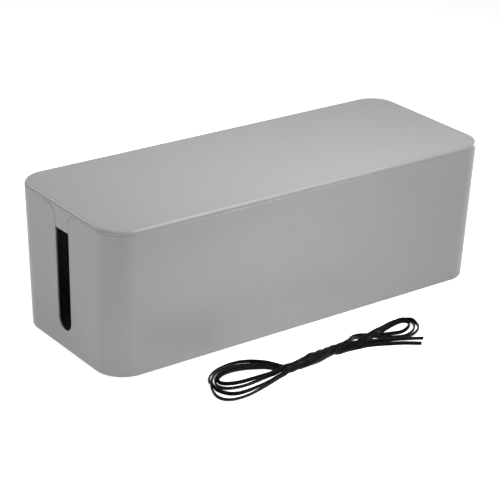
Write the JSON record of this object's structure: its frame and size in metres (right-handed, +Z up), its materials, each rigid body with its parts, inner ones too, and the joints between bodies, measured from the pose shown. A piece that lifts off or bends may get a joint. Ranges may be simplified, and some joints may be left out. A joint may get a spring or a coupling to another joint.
{
  "type": "cable management box",
  "caption": "Long box with rounded corners and a lift-off lid that hides a power strip; a rounded cable slot in each end, rubber feet, and a loose tie cord.",
  "frame": {"origin": "on the table under the middle of the box, at the underside of the rubber feet; the loose tie cord is not counted", "axes": "+X along the box's length, -Y the long side that faces the loose tie cord, +Z up, the way the lid lifts"},
  "size_m": [0.4068, 0.2406, 0.1345],
  "materials": {
    "shell_plastic": "satin moulded plastic with a fine spark texture",
    "foot_rubber": "matte",
    "cord_black": "satin"
  },
  "bodies": {
    "tub": {"tub": "shell_plastic", "foot_front_left": "foot_rubber", "foot_front_right": "foot_rubber", "foot_back_left": "foot_rubber", "foot_back_right": "foot_rubber", "tie_cord_hank": "cord_black", "tie_cord_end_upper": "cord_black", "tie_cord_end_lower": "cord_black"},
    "lid": {"lid": "shell_plastic"}
  },
  "joints": [
    {"name": "lid_lift", "type": "slide", "parent": "tub", "child": "lid", "axis": [0, 0, 1], "range_m": [0, 0.15]}
  ]
}
